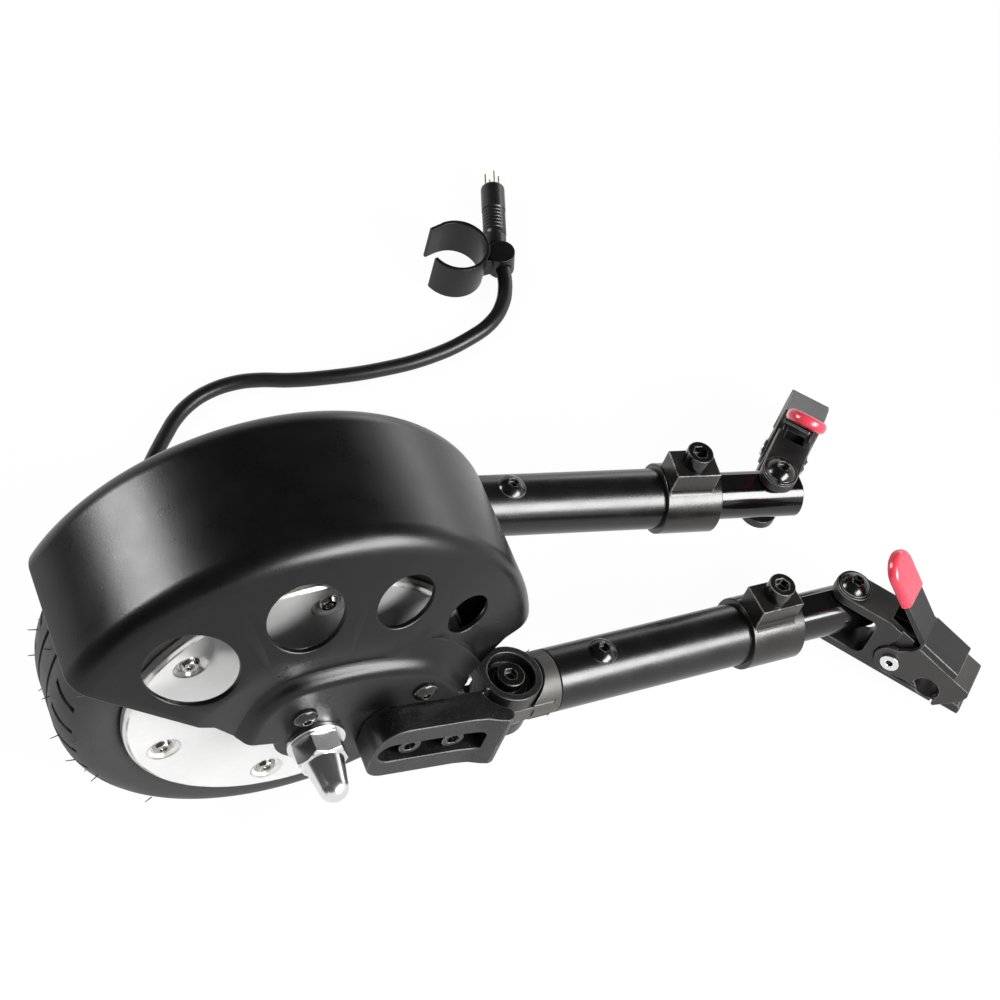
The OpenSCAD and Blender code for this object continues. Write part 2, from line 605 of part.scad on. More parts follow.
// knuckle bolt with its washer, sunk in the upper eye
module knuckle_bolt(side) color([0.12, 0.12, 0.12]) at_knuckle(side) difference() {
  union() {
    cut(knuckle_bolt_r, -eye_h / 2 + 1, counter_z);
    cut(eye_r - 5, counter_z, counter_z + 1.6);
    cut(knuckle_bolt_r + 2.2, counter_z + 1.6, counter_z + 6.4);
  }
  translate([0, 0, counter_z + 3.6]) cylinder(r = 2.9, h = 9, $fn = 6);
}

// arm end with tongue, saddle collar and the plug inside the tube
module arm_fitting(side) color([0.3, 0.28, 0.26]) at_arm(side) difference() {
  union() {
    cut(eye_r - 0.3, -tongue_t / 2, tongue_t / 2);
    translate([0, -eye_r + 0.3, -tongue_t / 2]) cube([eye_r + 4, 2 * eye_r - 0.6, tongue_t]);
    difference() {
      translate([8, 0, 0]) rotate([0, 90, 0]) cylinder(r = tube_r, h = tube_x - 8);
      difference() {
        cut(eye_r + 1, -40, 40);
        cube([60, 60, tongue_t], center = true);
      }
    }
    translate([tube_x - 1, 0, 0]) rotate([0, 90, 0]) cylinder(r = tube_bore, h = 30);
  }
  cut(knuckle_bolt_r + fit, -20, 20);
  translate([tube_screw_x, 0, 0]) cut(2.5, 0, 20);
}

// outer tube
module outer_tube(side) color([0.1, 0.1, 0.1]) at_arm(side) difference() {
  translate([tube_x, 0, 0]) rotate([0, 90, 0]) cylinder(r = tube_r, h = tube_end - tube_x);
  translate([tube_x - 1, 0, 0]) rotate([0, 90, 0]) cylinder(r = tube_bore, h = tube_end - tube_x + 2);
  translate([tube_screw_x, 0, 0]) cut(2.5, 0, 20);
  translate([tube_screw_x, 0, 0]) cut(tube_head_r, tube_r - 1, 20);
  translate([lug_x, 0, 0]) cut(4, 0, 20);
}

// button screw that keeps the tube on its fitting
module tube_screw(side) color([0.1, 0.1, 0.1]) at_arm(side) translate([tube_screw_x, 0, 0]) difference() {
  union() {
    cut(2.5, 5, tube_r - 0.5);
    translate([0, 0, tube_r - 1]) rotate_extrude() intersection() {
      square([tube_head_r, 5]);
      translate([0, -4.2]) circle(tube_head_r + 1.8);
    }
  }
  translate([0, 0, tube_r + 0.6]) cylinder(r = 2.4, h = 6, $fn = 6);
}

// clamp collar, its lug running down into the ring on both sides
module collar(side) color([0.08, 0.08, 0.08]) at_arm(side) difference() {
  union() {
    translate([collar_x, 0, 0]) rotate([0, 90, 0]) cylinder(r = collar_r, h = collar_len);
    translate([lug_x - lug_len / 2, 0, 0]) rotate([90, 0, 90]) linear_extrude(lug_len) polygon([[-lug_w / 2, lug_up],
      -collar_r * [cos(lug_side), -sin(lug_side)], collar_r * [cos(lug_side), sin(lug_side)], [lug_w / 2, lug_up]]);
  }
  translate([collar_x - 1, 0, 0]) rotate([0, 90, 0]) cylinder(r = tube_r, h = tube_end - collar_x + 1);
  translate([collar_x - 1, 0, 0]) rotate([0, 90, 0]) cylinder(r = slide_r + gap, h = collar_len + 2);
  translate([lug_x, 0, 0]) cut(4, 0, 40);
}

// cap screw that presses on the flat of the inner tube
module collar_screw(side) color([0.1, 0.1, 0.1]) at_arm(side) translate([lug_x, 0, 0]) difference() {
  union() {
    cut(4, slide_r - flat_d + gap, lug_up);
    cut(collar_head_r, lug_up, lug_up + 8);
  }
  translate([0, 0, lug_up + 4]) cylinder(r = 3.5, h = 9, $fn = 6);
}

// sliding inner tube with a flat along its top
module inner_tube(side) color([0.09, 0.09, 0.09]) at_arm(side) difference() {
  translate([reach(side) - 104, 0, 0]) rotate([0, 90, 0]) cylinder(r = slide_r, h = 104 + tube_past);
  translate([reach(side) - 105, 0, 0]) rotate([0, 90, 0]) cylinder(r = slide_r - slide_wall, h = 108);
  translate([reach(side) - 105, -20, slide_r - flat_d]) cube([140, 40, 20]);
  translate([reach(side), 0, 0]) cut(pivot_bolt_r + fit, -20, 20);
}

// clamp body: a fork on the tube end, a pocket on top, and the seat of the docking pin
module clamp_base(side) color([0.17, 0.17, 0.16]) at_clamp(side) difference() {
  union() {
    difference() {
      union() {
        cut(fork_w / 2, clamp_low, clamp_top);
        translate([0, fork_w / 2, 0]) slab(0, fork_w) polygon([[0, clamp_low], [dock_at[0] + 4.8, clamp_low],
          [dock_at[0] + 4.8, clamp_low + 2.4], [28, clamp_low + 2.4], [26.6, rivet_at[1] + 6.9],
          [29, rivet_at[1] + 13.7], [29, clamp_top - 2.3], [22, clamp_top], [0, clamp_top]]);
      }
      for (s = [-1, 1]) translate([0, s > 0 ? core_half : -20, 0]) slab(-20 + core_half, 0)
        translate(rivet_at) circle(boss_r + 0.5);
    }
    translate([0, core_half, 0]) slab(0, 2 * core_half) polygon([[18, clamp_low], [clamp_len, clamp_low],
      [clamp_len, clamp_low + 3.4], [clamp_len - 1.6, clamp_low + 5.2], [58.6, clamp_low + 6], [55, clamp_low + 10.8],
      [46, clamp_low + 11.8], [42, clamp_low + 18.4], [39.6, clamp_low + 19.6], [36, clamp_top - 7.8], [36, clamp_top - 4.4],
      [29, clamp_top - 2.3], [22, clamp_top], [18, clamp_top]]);
  }
  translate([-20, -20, -throat]) cube([34, 40, 2 * throat]);
  translate([-20, -20, -throat + 4]) cube([38, 40, 2 * throat - 8]);
  for (s = [-1, 1]) translate([14, 20, s * (throat - 4)]) pin(4, 0, 40);
  translate([22, -core_half + 2.2, clamp_top - 7.8]) cube([30, 2 * core_half - 4.4, 30]);
  translate([0, 20, 0]) slab(0, 40) translate(dock_at) circle(dock_r);
  translate([0, 20, 0]) slab(0, 40) translate(rivet_at) circle(rivet_r);
  cut(pivot_bolt_r, -30, 30);
}

// pivot bolt of the clamp, threaded in the lower fork plate
module pivot_bolt(side) color([0.1, 0.1, 0.1]) at_clamp(side) difference() {
  union() {
    cut(pivot_bolt_r, clamp_low + 0.4, clamp_top);
    cut(pivot_head_r + 1.4, clamp_top, clamp_top + 1.2);
    translate([0, 0, clamp_top + 1.2]) rotate_extrude() intersection() {
      square([pivot_head_r, 4.6]);
      translate([0, -3.8]) circle(pivot_head_r + 1);
    }
  }
  translate([0, 0, clamp_top + 2.6]) cylinder(r = 2.9, h = 9, $fn = 6);
}

// tubular rivet that the jaw turns on
module rivet(side) color([0.75, 0.75, 0.75]) at_clamp(side) translate([rivet_at[0], 0, rivet_at[1]]) difference() {
  union() {
    pin(rivet_r, -clamp_w / 2 - 1, clamp_w / 2 + 1);
    for (s = [-1, 1]) pin(rivet_r + 1.5, s > 0 ? clamp_w / 2 + 0.2 : -clamp_w / 2 - 1.4,
      s > 0 ? clamp_w / 2 + 1.4 : -clamp_w / 2 - 0.2);
  }
  pin(rivet_r * 0.55, -20, 20);
}

// top face of the jaw, which the lever foot lies on
function jaw_top(x) = clamp_top - 4 - (x - heel_x) * 0.323;

// hooked jaw: two cheeks and a bridge that slopes down to the nose
module jaw(side) color([0.36, 0.33, 0.3]) at_clamp(side) difference() {
  union() {
    for (s = [-1, 1]) translate([0, s > 0 ? clamp_w / 2 - 0.1 : -core_half - gap, 0]) slab(0, cheek_t - 0.1) cheek();
    translate([0, core_half + gap + 0.1, 0]) slab(0, 2 * core_half + 2 * gap + 0.2) polygon([[44, jaw_top(44) - 5.2],
      [44, jaw_top(44)], [60.6, jaw_top(60.6)], [68.8, 3], [69.4, 0], [66, -1.6], [58, 1.8], [51, 3.4]]);
  }
  translate([0, 20, 0]) slab(0, 40) translate(dock_at) circle(dock_r);
  translate([0, 20, 0]) slab(0, 40) translate(rivet_at) circle(rivet_r + fit);
}
module cheek() {
  translate(rivet_at) circle(boss_r);
  polygon([[rivet_at[0], rivet_at[1] - boss_r], [38.5, dock_at[1] - 2.8], [45.6, dock_at[1] - 1], dock_at + [0, 3],
    dock_at + [5.9, -3.4], dock_at + [5.6, -7.2], dock_at + [6.8, -7.8], dock_at + [16.7, 4], [69.4, 0], [68.8, 3],
    [60.6, jaw_top(60.6)], [heel_x, jaw_top(heel_x)], [37, jaw_top(heel_x) - 3.9], [rivet_at[0], rivet_at[1] + boss_r]]);
}

// bent lever: a wide foot on top of the jaw and a round-ended arm that leans back from its heel
module lever(side) color([0.12, 0.12, 0.12]) {
  at_clamp(side) translate([0, clamp_w / 2 - 0.2, 0]) slab(0, clamp_w - 0.4) polygon([[heel_x, jaw_top(heel_x)],
    [60, jaw_top(60)], [60.6, jaw_top(60) + lever_t - 0.4], [59.8, jaw_top(60) + lever_t],
    [heel_x + 0.4, jaw_top(heel_x) + lever_t - 0.1]]);
  at_grip(side) tongue(0, arm_len, arm_w, arm_t);
}
module at_grip(side) at_clamp(side) translate([heel_x, 0, jaw_top(heel_x)]) rotate([0, -135, 0])
  translate([0, 0, -arm_t]) children();
// flat bar with a round end
module tongue(a, b, w, t) {
  translate([a, -w / 2, 0]) cube([b - w / 2 - a, w, t]);
  translate([b - w / 2, 0, 0]) cylinder(r = w / 2, h = t);
}

// grip cap pushed over the lever end
module lever_cap(side) color([0.9, 0.2, 0.25]) at_grip(side) difference() {
  translate([0, 0, -cap_wall]) tongue(arm_len + cap_wall - cap_len, arm_len + cap_wall, arm_w + 2 * cap_wall, arm_t + 2 * cap_wall);
  tongue(0, arm_len, arm_w, arm_t);
}

tyre();
hub_shell();
hub_cover(near);  // hub_cover_near
hub_cover(far);  // hub_cover_far
hub_screws();
magnet_ring();
bearing(near);  // bearing_near
bearing(far);  // bearing_far
axle();
stator();
axle_spacers();
axle_plate(near);  // axle_plate_near
axle_plate(far);  // axle_plate_far
axle_washers();
dome_nut();
hex_nut();
fender();
fender_screws();
bracket_screws();
cable_gland();
power_cable();
plug();
plug_pins();
cable_clip();
bracket(near);  // bracket_near
bracket(far);  // bracket_far
knuckle_bolt(near);  // knuckle_bolt_near
knuckle_bolt(far);  // knuckle_bolt_far
arm_fitting(near);  // arm_fitting_near
arm_fitting(far);  // arm_fitting_far
outer_tube(near);  // outer_tube_near
outer_tube(far);  // outer_tube_far
tube_screw(near);  // tube_screw_near
tube_screw(far);  // tube_screw_far
collar(near);  // collar_near
collar(far);  // collar_far
collar_screw(near);  // collar_screw_near
collar_screw(far);  // collar_screw_far
inner_tube(near);  // inner_tube_near
inner_tube(far);  // inner_tube_far
clamp_base(near);  // clamp_base_near
clamp_base(far);  // clamp_base_far
pivot_bolt(near);  // pivot_bolt_near
pivot_bolt(far);  // pivot_bolt_far
rivet(near);  // rivet_near
rivet(far);  // rivet_far
jaw(near);  // jaw_near
jaw(far);  // jaw_far
lever(near);  // lever_near
lever(far);  // lever_far
lever_cap(near);  // lever_cap_near
lever_cap(far);  // lever_cap_far
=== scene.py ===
import json
import math
import bmesh
import bpy
from mathutils import Matrix, Vector


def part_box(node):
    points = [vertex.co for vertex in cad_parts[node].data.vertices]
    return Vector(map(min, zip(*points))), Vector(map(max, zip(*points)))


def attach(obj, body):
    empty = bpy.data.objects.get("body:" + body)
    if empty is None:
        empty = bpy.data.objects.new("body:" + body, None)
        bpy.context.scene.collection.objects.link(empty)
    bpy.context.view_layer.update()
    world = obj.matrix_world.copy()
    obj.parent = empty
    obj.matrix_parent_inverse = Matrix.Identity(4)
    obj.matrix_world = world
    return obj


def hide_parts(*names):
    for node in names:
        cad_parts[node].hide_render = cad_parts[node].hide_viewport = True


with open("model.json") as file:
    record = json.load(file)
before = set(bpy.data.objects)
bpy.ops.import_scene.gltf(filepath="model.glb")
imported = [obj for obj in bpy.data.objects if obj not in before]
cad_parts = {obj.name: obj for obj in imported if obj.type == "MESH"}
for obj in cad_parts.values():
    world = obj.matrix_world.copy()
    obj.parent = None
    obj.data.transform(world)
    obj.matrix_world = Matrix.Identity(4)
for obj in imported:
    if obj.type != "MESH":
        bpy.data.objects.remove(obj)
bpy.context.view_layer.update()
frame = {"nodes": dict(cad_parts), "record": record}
nodes = frame["nodes"]

# The viewpoint: a long lens high over the near side, tilted a little out of level, so that the
# wheel stands large on the left and the arms run away to the right.
eye = Vector((-0.14583, -0.58926, 1.10348))
eye_right = Vector((0.93789, -0.34572, 0.02895))
eye_forward = Vector((0.21468, 0.5128, -0.83123))
eye_up = eye_right.cross(eye_forward)
eye_turn = Matrix((eye_right, eye_up, -eye_forward)).transposed().to_4x4()
camera_data = bpy.data.cameras.new("viewpoint")
camera_data.lens = 99.12
camera_data.sensor_width = 36
camera = bpy.data.objects.new("viewpoint", camera_data)
bpy.context.collection.objects.link(camera)
camera.matrix_world = Matrix.Translation(eye) @ eye_turn
bpy.context.scene.camera = camera
bpy.context.scene.view_settings.view_transform = "Standard"


# The studio: a white sweep all round, seen by the lens and by gloss, that lights softly. Softboxes stand
# low at the front right and high at the back left, each split into its plain light and its reflection.
def seen_share(tree):
    rays = tree.nodes.new("ShaderNodeLightPath")
    share = rays.outputs["Is Camera Ray"]
    for kind in ("Is Glossy Ray", "Is Transmission Ray"):
        either = tree.nodes.new("ShaderNodeMath")
        either.operation = "MAXIMUM"
        tree.links.new(share, either.inputs[0])
        tree.links.new(rays.outputs[kind], either.inputs[1])
        share = either.outputs[0]
    return share


def sweep_light(tree, strength):
    light = tree.nodes.new("ShaderNodeBackground")
    light.inputs["Color"].default_value = (1, 1, 1, 1)
    light.inputs["Strength"].default_value = strength
    return light.outputs[0]


world = bpy.data.worlds.new("white_sweep")
bpy.context.scene.world = world
world.use_nodes = True
sky = world.node_tree
sky.nodes.clear()
sky_soft, sky_seen = 0.25, 1.0
sky_mix = sky.nodes.new("ShaderNodeMixShader")
sky.links.new(seen_share(sky), sky_mix.inputs[0])
sky.links.new(sweep_light(sky, sky_soft), sky_mix.inputs[1])
sky.links.new(sweep_light(sky, sky_seen), sky_mix.inputs[2])
sky_out = sky.nodes.new("ShaderNodeOutputWorld")
sky.links.new(sky_mix.outputs[0], sky_out.inputs[0])


def softbox(name, place, aim, width, depth, watts, gloss):
    lamp = bpy.data.lights.new(name, "AREA")
    lamp.shape = "RECTANGLE"
    lamp.size = width
    lamp.size_y = depth
    lamp.energy = watts
    stand = bpy.data.objects.new(name, lamp)
    bpy.context.collection.objects.link(stand)
    stand.visible_glossy = gloss
    stand.visible_diffuse = not gloss
    stand.location = place
    stand.rotation_euler = (Vector(aim) - Vector(place)).to_track_quat("-Z", "Y").to_euler()


arms_middle = (0.1, -0.03, 0.08)
softbox("key", (0.70, -0.75, 0.50), arms_middle, 0.6, 0.5, 12, False)
softbox("fill", (-0.78, 0.59, 0.76), (0, 0, 0.1), 0.5, 0.5, 6, False)
softbox("front_band", (0.65, -0.81, 0.6), arms_middle, 1.0, 0.46, 34, True)
softbox("rim_right", (1.3, 0.8, 0.14), (0.07, 0, 0.16), 1.3, 0.4, 4.2, True)
softbox("back_patch", (-0.78, 0.59, 0.76), (-0.05, 0, 0.19), 0.42, 0.42, 12.5, True)

# The floor: a plain white sweep that the lens and gloss see as white; the rest of it stays matt, so
# that the shadow under the wheel and arms shows through.
bpy.ops.mesh.primitive_plane_add(size=8, location=(0.1, 0.05, 0))
floor = bpy.context.active_object
floor.name = "floor"
floor_paint = bpy.data.materials.new("floor_white")
floor_paint.use_nodes = True
ground = floor_paint.node_tree
ground.nodes.clear()
floor_share = ground.nodes.new("ShaderNodeMath")
floor_share.operation = "MULTIPLY"
floor_share.inputs[1].default_value = 0.92
ground.links.new(seen_share(ground), floor_share.inputs[0])
floor_matt = ground.nodes.new("ShaderNodeBsdfDiffuse")
floor_matt.inputs["Color"].default_value = (0.85, 0.85, 0.85, 1)
floor_glow = ground.nodes.new("ShaderNodeEmission")
floor_glow.inputs["Color"].default_value = (1, 1, 1, 1)
floor_glow.inputs["Strength"].default_value = 1.04
floor_mix = ground.nodes.new("ShaderNodeMixShader")
ground.links.new(floor_share.outputs[0], floor_mix.inputs[0])
ground.links.new(floor_matt.outputs[0], floor_mix.inputs[1])
ground.links.new(floor_glow.outputs[0], floor_mix.inputs[2])
floor_out = ground.nodes.new("ShaderNodeOutputMaterial")
ground.links.new(floor_mix.outputs[0], floor_out.inputs[0])
floor.data.materials.append(floor_paint)

# The dark cards: a ceiling cloth and a low side cloth that only gloss sees, which keep the tops of the
# black pieces black, as in a studio with a dark roof.
dark_cloth = bpy.data.materials.new("dark_cloth")
dark_cloth.use_nodes = True
cloth = dark_cloth.node_tree.nodes["Principled BSDF"].inputs
cloth["Base Color"].default_value = (0, 0, 0, 1)
cloth["Specular IOR Level"].default_value = 0
cloth["Emission Color"].default_value = (1, 1, 1, 1)
cloth["Emission Strength"].default_value = 0.08
for name, place, turn, width, length in (("dark_ceiling", (0.1, 0.05, 1.7), 0, 8, 8),
                                         ("dark_wall", (-1.5, 0.7, 0.34), 90, 0.9, 3.6)):
    bpy.ops.mesh.primitive_plane_add(size=1, location=place, rotation=(0, math.radians(turn), 0))
    card = bpy.context.active_object
    card.name = name
    card.scale = (width, length, 1)
    card.visible_camera = False
    card.visible_diffuse = False
    card.visible_shadow = False
    card.data.materials.append(dark_cloth)


# The motor cable: a round rubber lead that leaves the hollow axle end through a tapered boot, drops to
# the floor, runs along it in a lazy curve and comes up through the clip into the back of the plug.
def finish(name, deep, pale, grain, rough, bump, metal=0.0, shine=0.5, edge_wear_and_painted_light=None, edge_wear_and_painted_light_share=0.0, specks=0.0):
    skin = bpy.data.materials.new(name)
    skin.use_nodes = True
    tree = skin.node_tree
    coat = tree.nodes["Principled BSDF"]
    coat.inputs["Metallic"].default_value = metal
    coat.inputs["Specular IOR Level"].default_value = shine
    place = tree.nodes.new("ShaderNodeTexCoord")
    fine = tree.nodes.new("ShaderNodeTexNoise")
    fine.inputs["Scale"].default_value = 1 / grain
    fine.inputs["Detail"].default_value = 3
    broad = tree.nodes.new("ShaderNodeTexNoise")
    broad.inputs["Scale"].default_value = 70
    broad.inputs["Detail"].default_value = 4
    broad.inputs["Roughness"].default_value = 0.6
    for cloud in (fine, broad):
        tree.links.new(place.outputs["Object"], cloud.inputs["Vector"])

    def ramp(source, low, high, least, most):
        scale = tree.nodes.new("ShaderNodeMapRange")
        scale.inputs["From Min"].default_value = low
        scale.inputs["From Max"].default_value = high
        scale.inputs["To Min"].default_value = least
        scale.inputs["To Max"].default_value = most
        tree.links.new(source, scale.inputs["Value"])
        return scale.outputs["Result"]

    def pair(operation, first, second):
        sums = tree.nodes.new("ShaderNodeMath")
        sums.operation = operation
        tree.links.new(first, sums.inputs[0])
        tree.links.new(second, sums.inputs[1])
        return sums.outputs[0]

    def layer(share, over):
        tint = tree.nodes.new("ShaderNodeMix")
        tint.data_type = "RGBA"
        share_in, under_in, over_in = tint.inputs[0], tint.inputs[6], tint.inputs[7]
        over_in.default_value = (*over, 1)
        tree.links.new(share, share_in)
        return under_in, tint.outputs[2]

    under, colour = layer(ramp(pair("ADD", fine.outputs["Fac"], broad.outputs["Fac"]), 0.75, 1.25, 0, 1), pale)
    under.default_value = (*deep, 1)
    if specks:
        speck_grey = (0.3, 0.3, 0.3)
        under, dotted = layer(ramp(fine.outputs["Fac"], 0.6, 0.7, 0, specks), speck_grey)
        tree.links.new(colour, under)
        colour = dotted
    # Patches of another colour on the bevelled edges: partly edge wear and partly a painted edge highlight, or
    # painted shade where the given colour is darker than the surface.
    if edge_wear_and_painted_light:
        edge = tree.nodes.new("ShaderNodeAttribute")
        edge.attribute_name = "edge"
        patchy = ramp(broad.outputs["Fac"], 0.4, 0.62, 0, edge_wear_and_painted_light_share)
        under, wear_and_painted_light_edges = layer(pair("MULTIPLY", edge.outputs["Fac"], patchy), edge_wear_and_painted_light)
        tree.links.new(colour, under)
        colour = wear_and_painted_light_edges
    tree.links.new(colour, coat.inputs["Base Color"])
    tree.links.new(ramp(broad.outputs["Fac"], 0.35, 0.65, *rough), coat.inputs["Roughness"])
    dent = tree.nodes.new("ShaderNodeBump")
    dent.inputs["Strength"].default_value = bump
    dent.inputs["Distance"].default_value = grain * 0.4
    tree.links.new(fine.outputs["Fac"], dent.inputs["Height"])
    tree.links.new(dent.outputs["Normal"], coat.inputs["Normal"])
    return skin


black, soot = (0.003, 0.003, 0.003), (0.006, 0.006, 0.006)
cable_radius = 0.00375
cable_route = [(-0.00448, 0.09301, 0.09244), (-0.00546, 0.09478, 0.09078), (-0.0103, 0.1023, 0.0826),
               (-0.0146, 0.1086, 0.0736), (-0.0184, 0.1142, 0.0636), (-0.0214, 0.1196, 0.0532),
               (-0.0236, 0.1244, 0.0432), (-0.0248, 0.1288, 0.0336), (-0.025, 0.134, 0.0244),
               (-0.024, 0.141, 0.016), (-0.022, 0.149, 0.0092), (-0.0186, 0.157, 0.0054),
               (-0.0136, 0.1644, 0.0042), (-0.008, 0.1714, 0.004), (-0.002, 0.1784, 0.004),
               (0.0048, 0.1856, 0.004), (0.0143, 0.1922, 0.004), (0.0247, 0.196, 0.004),
               (0.0387, 0.197, 0.004), (0.0499, 0.1949, 0.004), (0.0646, 0.1898, 0.004),
               (0.084, 0.1851, 0.004), (0.1087, 0.1814, 0.004), (0.1348, 0.1809, 0.004),
               (0.1576, 0.1853, 0.004), (0.1715, 0.1914, 0.004), (0.18, 0.1996, 0.0042),
               (0.1848, 0.2082, 0.005), (0.1872, 0.2166, 0.0062), (0.1886, 0.225, 0.0069),
               (0.1894, 0.2326, 0.007), (0.191, 0.2404, 0.007)]
cable_rubber = finish("cable_rubber", black, soot, 0.0006, (0.34, 0.42), 0.12)


def lead(name, route, radius, skin):
    line = bpy.data.curves.new(name, "CURVE")
    line.dimensions = "3D"
    line.bevel_depth = 1.0 if isinstance(radius, list) else radius
    line.bevel_resolution = 8
    line.resolution_u = 6
    line.use_fill_caps = True
    strand = line.splines.new("BEZIER")
    strand.bezier_points.add(len(route) - 1)
    for index, knot in enumerate(strand.bezier_points):
        knot.co = route[index]
        knot.handle_left_type = "AUTO"
        knot.handle_right_type = "AUTO"
        if isinstance(radius, list):
            knot.radius = radius[index]
    line.materials.append(skin)
    piece = bpy.data.objects.new(name, line)
    bpy.context.collection.objects.link(piece)
    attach(piece, "chassis")
    return piece


cable = lead("power_cable_lead", cable_route, cable_radius, cable_rubber)
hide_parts("power_cable")

# The cable boot: a moulded rubber strain relief that is pushed into the hollow axle end and bends down
# with the cable, thinner towards its tip, with grooves that let it flex.
boot_steps, boot_plain, boot_bend = 19, 3, 45
boot_butt, boot_narrowing, boot_groove = 0.0069, 0.0021, 0.0009
boot_start, boot_height, boot_reach, boot_lean, boot_fall = 0.0718, 0.1, 0.03, 0.0153, 0.0258
boot_route = []
boot_radii = []
for step in range(boot_steps + 1):
    swing = math.radians(boot_bend * step / boot_steps)
    drop = 1 - math.cos(swing)
    boot_route.append((-boot_lean * drop, boot_start + boot_reach * math.sin(swing), boot_height - boot_fall * drop))
    taper = boot_butt - boot_narrowing * max(0, step - boot_plain) / (boot_steps - boot_plain)
    boot_radii.append(taper - (boot_groove if step > boot_plain and step % 3 == 1 else 0))
boot = lead("cable_boot", boot_route, boot_radii, cable_rubber)
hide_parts("cable_gland")

# The plug: a moulded round plastic shell on the cable end, with grip rings on its rear half, and four
# turned brass contacts pressed into its face.
body_of = {node: body for body, members in frame["record"]["behaviour"]["bodies"].items() for node in members}


def solid(name, work, skin, body, node=None, soft=40):
    mesh = bpy.data.meshes.new(name)
    work.normal_update()
    work.to_mesh(mesh)
    work.free()
    mesh.materials.append(skin)
    mesh.shade_smooth()
    mesh.set_sharp_from_angle(angle=math.radians(soft))
    piece = bpy.data.objects.new(name, mesh)
    bpy.context.collection.objects.link(piece)
    even = piece.modifiers.new("even_shading", "WEIGHTED_NORMAL")
    even.keep_sharp = True
    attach(piece, body)
    if node:
        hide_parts(node)
    return piece


def lathe(outline, steps, turn):
    work = bmesh.new()
    ring = [work.verts.new((r, 0, h)) for r, h in outline]
    rim = [work.edges.new(pair) for pair in zip(ring, ring[1:])]
    bmesh.ops.spin(work, geom=ring + rim, cent=(0, 0, 0), axis=(0, 0, 1), angle=2 * math.pi, steps=steps,
                   use_merge=True)
    bmesh.ops.remove_doubles(work, verts=work.verts, dist=1e-6)
    bmesh.ops.recalc_face_normals(work, faces=work.faces)
    bmesh.ops.transform(work, matrix=turn, verts=work.verts)
    return work


def join(whole, part):
    carrier = bpy.data.meshes.new("carrier")
    part.to_mesh(carrier)
    part.free()
    whole.from_mesh(carrier)
    bpy.data.meshes.remove(carrier)


plug_heading, contact_roll, contact_ring = 72, 16, 0.0036
grip_rings, grip_start, grip_pitch = 7, 0.0004, 0.0022
plug_place = (Matrix.Translation(cable_route[-1]) @ Matrix.Rotation(math.radians(plug_heading), 4, "Z")
              @ Matrix.Rotation(math.radians(90), 4, "Y"))
plug_outline = [(0.0038, -0.0092), (0.005, -0.0092), (0.0055, -0.0087), (0.0058, -0.0072), (0.0058, -0.0012),
                (0.0054, -0.0006)]
for ring in range(grip_rings):
    start = grip_start + ring * grip_pitch
    plug_outline += [(0.006, start), (0.006, start + 0.0012), (0.0057, start + 0.0014), (0.0057, start + 0.0019)]
plug_outline += [(0.0062, 0.0161), (0.0062, 0.0304), (0.006, 0.0312), (0.0055, 0.0318), (0.0046, 0.032), (0, 0.032)]
plug_plastic = finish("plug_plastic", black, soot, 0.0005, (0.3, 0.38), 0.15)
solid("plug_shell", lathe(plug_outline, 48, plug_place), plug_plastic, "chassis", "plug", soft=32)

contact_outline = [(0, 0.0315), (0.0011, 0.0315), (0.0008, 0.0334), (0.0006, 0.034), (0.0006, 0.0402),
                   (0.0004, 0.0408), (0, 0.041)]
brass = finish("contact_brass", (0.7, 0.6, 0.42), (0.85, 0.76, 0.58), 0.0005, (0.12, 0.25), 0.05, metal=1.0)
contacts = bmesh.new()
for pin in range(4):
    roll = Matrix.Rotation(math.radians(contact_roll + 90 * pin), 4, "Z")
    join(contacts, lathe(contact_outline, 16, plug_place @ roll @ Matrix.Translation((contact_ring, 0, 0))))
solid("plug_contacts", contacts, brass, "chassis", "plug_pins", soft=40)


# The cable clip: a sprung nylon ring with a guiding lip, moulded in one with the lobe that grips the
# cable end; it snaps on a frame tube of the chair and holds the plug up.
flat_angle, shortest_edge, mouth_facing = 0.15, 1e-5, 0.85


def edged(node, skin, width=0.0004, sharp=28, soft=50, segments=2, mouth=None, merge=2e-6):
    work = bmesh.new()
    work.from_mesh(nodes[node].data)
    mark = work.faces.layers.float.new("edge")
    bmesh.ops.remove_doubles(work, verts=work.verts, dist=merge)
    bmesh.ops.dissolve_limit(work, angle_limit=math.radians(flat_angle), verts=work.verts, edges=work.edges)
    hard = [e for e in work.edges if len(e.link_faces) == 2 and e.calc_face_angle(0) > math.radians(sharp)
            and e.calc_length() > shortest_edge]
    if mouth:
        hard = [e for e in hard if e.is_convex and all(f.normal.dot(mouth) < mouth_facing for f in e.link_faces)]
    rounded = bmesh.ops.bevel(work, geom=hard, offset=width, offset_type="OFFSET", affect="EDGES",
                              segments=segments, profile=0.5, material=-1, clamp_overlap=False)
    for f in rounded["faces"]:
        f[mark] = 1
    return solid(node + "_shape", work, skin, body_of[node], node, soft)


# Its bevelled edges are a touch lighter: partly wear and partly a painted edge highlight.
clip_nylon = finish("clip_nylon", black, soot, 0.0006, (0.3, 0.4), 0.15, shine=0.3,
                    edge_wear_and_painted_light=(0.02, 0.02, 0.02), edge_wear_and_painted_light_share=0.6)
snap = edged("cable_clip", clip_nylon, 0.0004, merge=2.5e-4)
snap.name = "cable_clip_snap"

